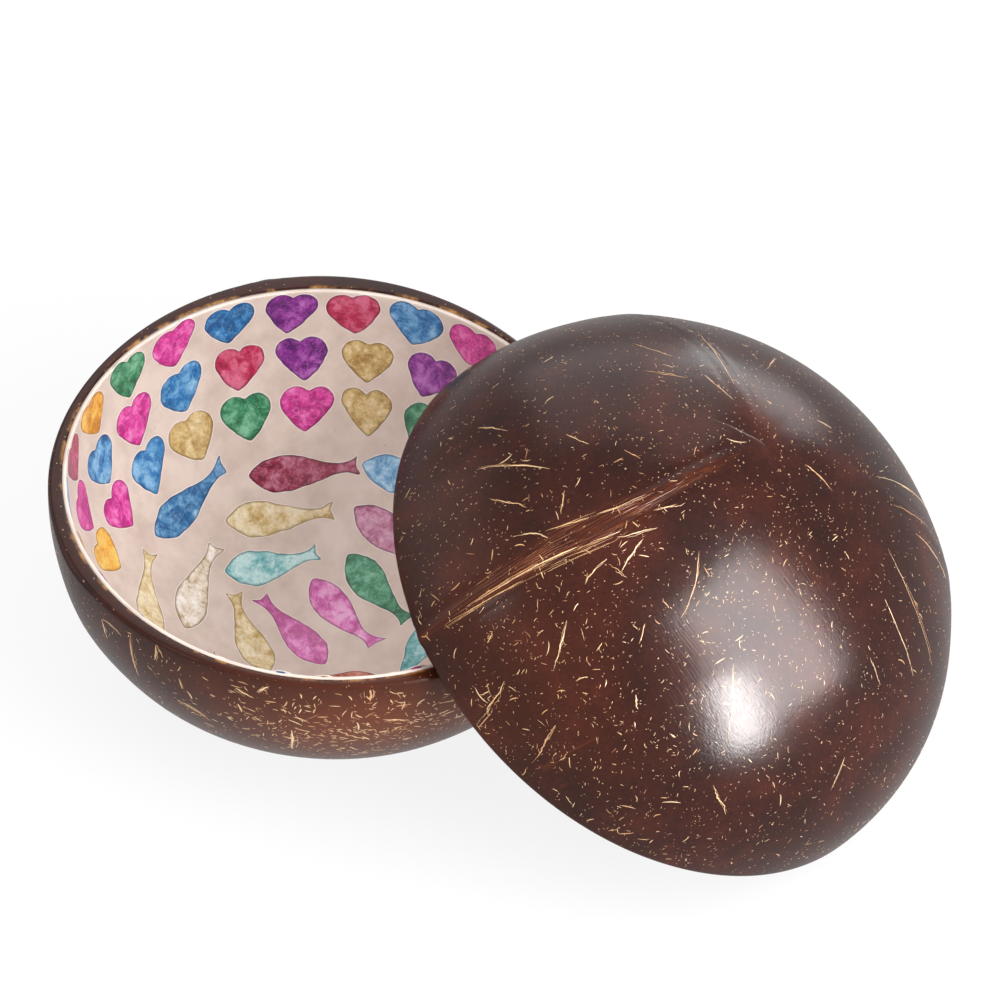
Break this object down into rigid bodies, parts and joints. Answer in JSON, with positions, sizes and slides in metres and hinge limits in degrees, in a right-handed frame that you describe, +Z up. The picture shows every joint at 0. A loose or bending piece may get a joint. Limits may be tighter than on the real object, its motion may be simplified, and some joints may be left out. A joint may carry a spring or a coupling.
{
  "type": "coconut shell bowl",
  "caption": "Polished coconut shell bowl pair with white lacquer lining and dyed heart and fish inlays; one open, one upturned and leaning on it.",
  "frame": {"origin": "centre of the open bowl's flat base, on the surface that the pair stands on", "axes": "+Z up, out of the open bowl's mouth; +X towards the side on which the upturned bowl leans; +Y to the far side as pictured"},
  "size_m": [0.208, 0.1459, 0.1039],
  "materials": {
    "coconut_shell": "sanded and polished coconut shell under oil and clear lacquer",
    "white_lacquer": "cream-white lacquer, sanded flush and glossy",
    "nacre_pink": "dyed mother of pearl, sanded flush under clear lacquer",
    "nacre_blue": "dyed mother of pearl, sanded flush under clear lacquer",
    "nacre_violet": "dyed mother of pearl, sanded flush under clear lacquer",
    "nacre_crimson": "dyed mother of pearl, sanded flush under clear lacquer",
    "nacre_gold": "dyed mother of pearl, sanded flush under clear lacquer",
    "nacre_amber": "dyed mother of pearl, sanded flush under clear lacquer",
    "nacre_green": "dyed mother of pearl, sanded flush under clear lacquer",
    "nacre_sky": "dyed mother of pearl, sanded flush under clear lacquer",
    "nacre_mauve": "dyed mother of pearl, sanded flush under clear lacquer",
    "nacre_teal": "dyed mother of pearl, sanded flush under clear lacquer",
    "nacre_pearl": "undyed mother of pearl, sanded flush under clear lacquer",
    "nacre_coral": "dyed mother of pearl, sanded flush under clear lacquer"
  },
  "bodies": {
    "open_bowl": {"open_shell": "coconut_shell", "open_lining": "white_lacquer", "open_hearts_pink": "nacre_pink", "open_hearts_blue": "nacre_blue", "open_hearts_violet": "nacre_violet", "open_hearts_crimson": "nacre_crimson", "open_hearts_gold": "nacre_gold", "open_hearts_amber": "nacre_amber", "open_hearts_green": "nacre_green", "open_fish_pink": "nacre_pink", "open_fish_blue": "nacre_blue", "open_fish_sky": "nacre_sky", "open_fish_crimson": "nacre_crimson", "open_fish_mauve": "nacre_mauve", "open_fish_gold": "nacre_gold", "open_fish_teal": "nacre_teal", "open_fish_green": "nacre_green", "open_fish_pearl": "nacre_pearl", "open_fish_coral": "nacre_coral"},
    "upturned_bowl": {"upturned_shell": "coconut_shell", "upturned_lining": "white_lacquer", "upturned_hearts_pink": "nacre_pink", "upturned_hearts_blue": "nacre_blue", "upturned_hearts_violet": "nacre_violet", "upturned_hearts_crimson": "nacre_crimson", "upturned_hearts_gold": "nacre_gold", "upturned_hearts_amber": "nacre_amber", "upturned_hearts_green": "nacre_green", "upturned_fish_pink": "nacre_pink", "upturned_fish_blue": "nacre_blue", "upturned_fish_sky": "nacre_sky", "upturned_fish_crimson": "nacre_crimson", "upturned_fish_mauve": "nacre_mauve", "upturned_fish_gold": "nacre_gold", "upturned_fish_teal": "nacre_teal", "upturned_fish_green": "nacre_green", "upturned_fish_pearl": "nacre_pearl", "upturned_fish_coral": "nacre_coral"}
  },
  "joints": [
    {"name": "lift_off", "type": "slide", "parent": "open_bowl", "child": "upturned_bowl", "axis": [0, 0, 1], "range_m": [0, 0.12]}
  ]
}
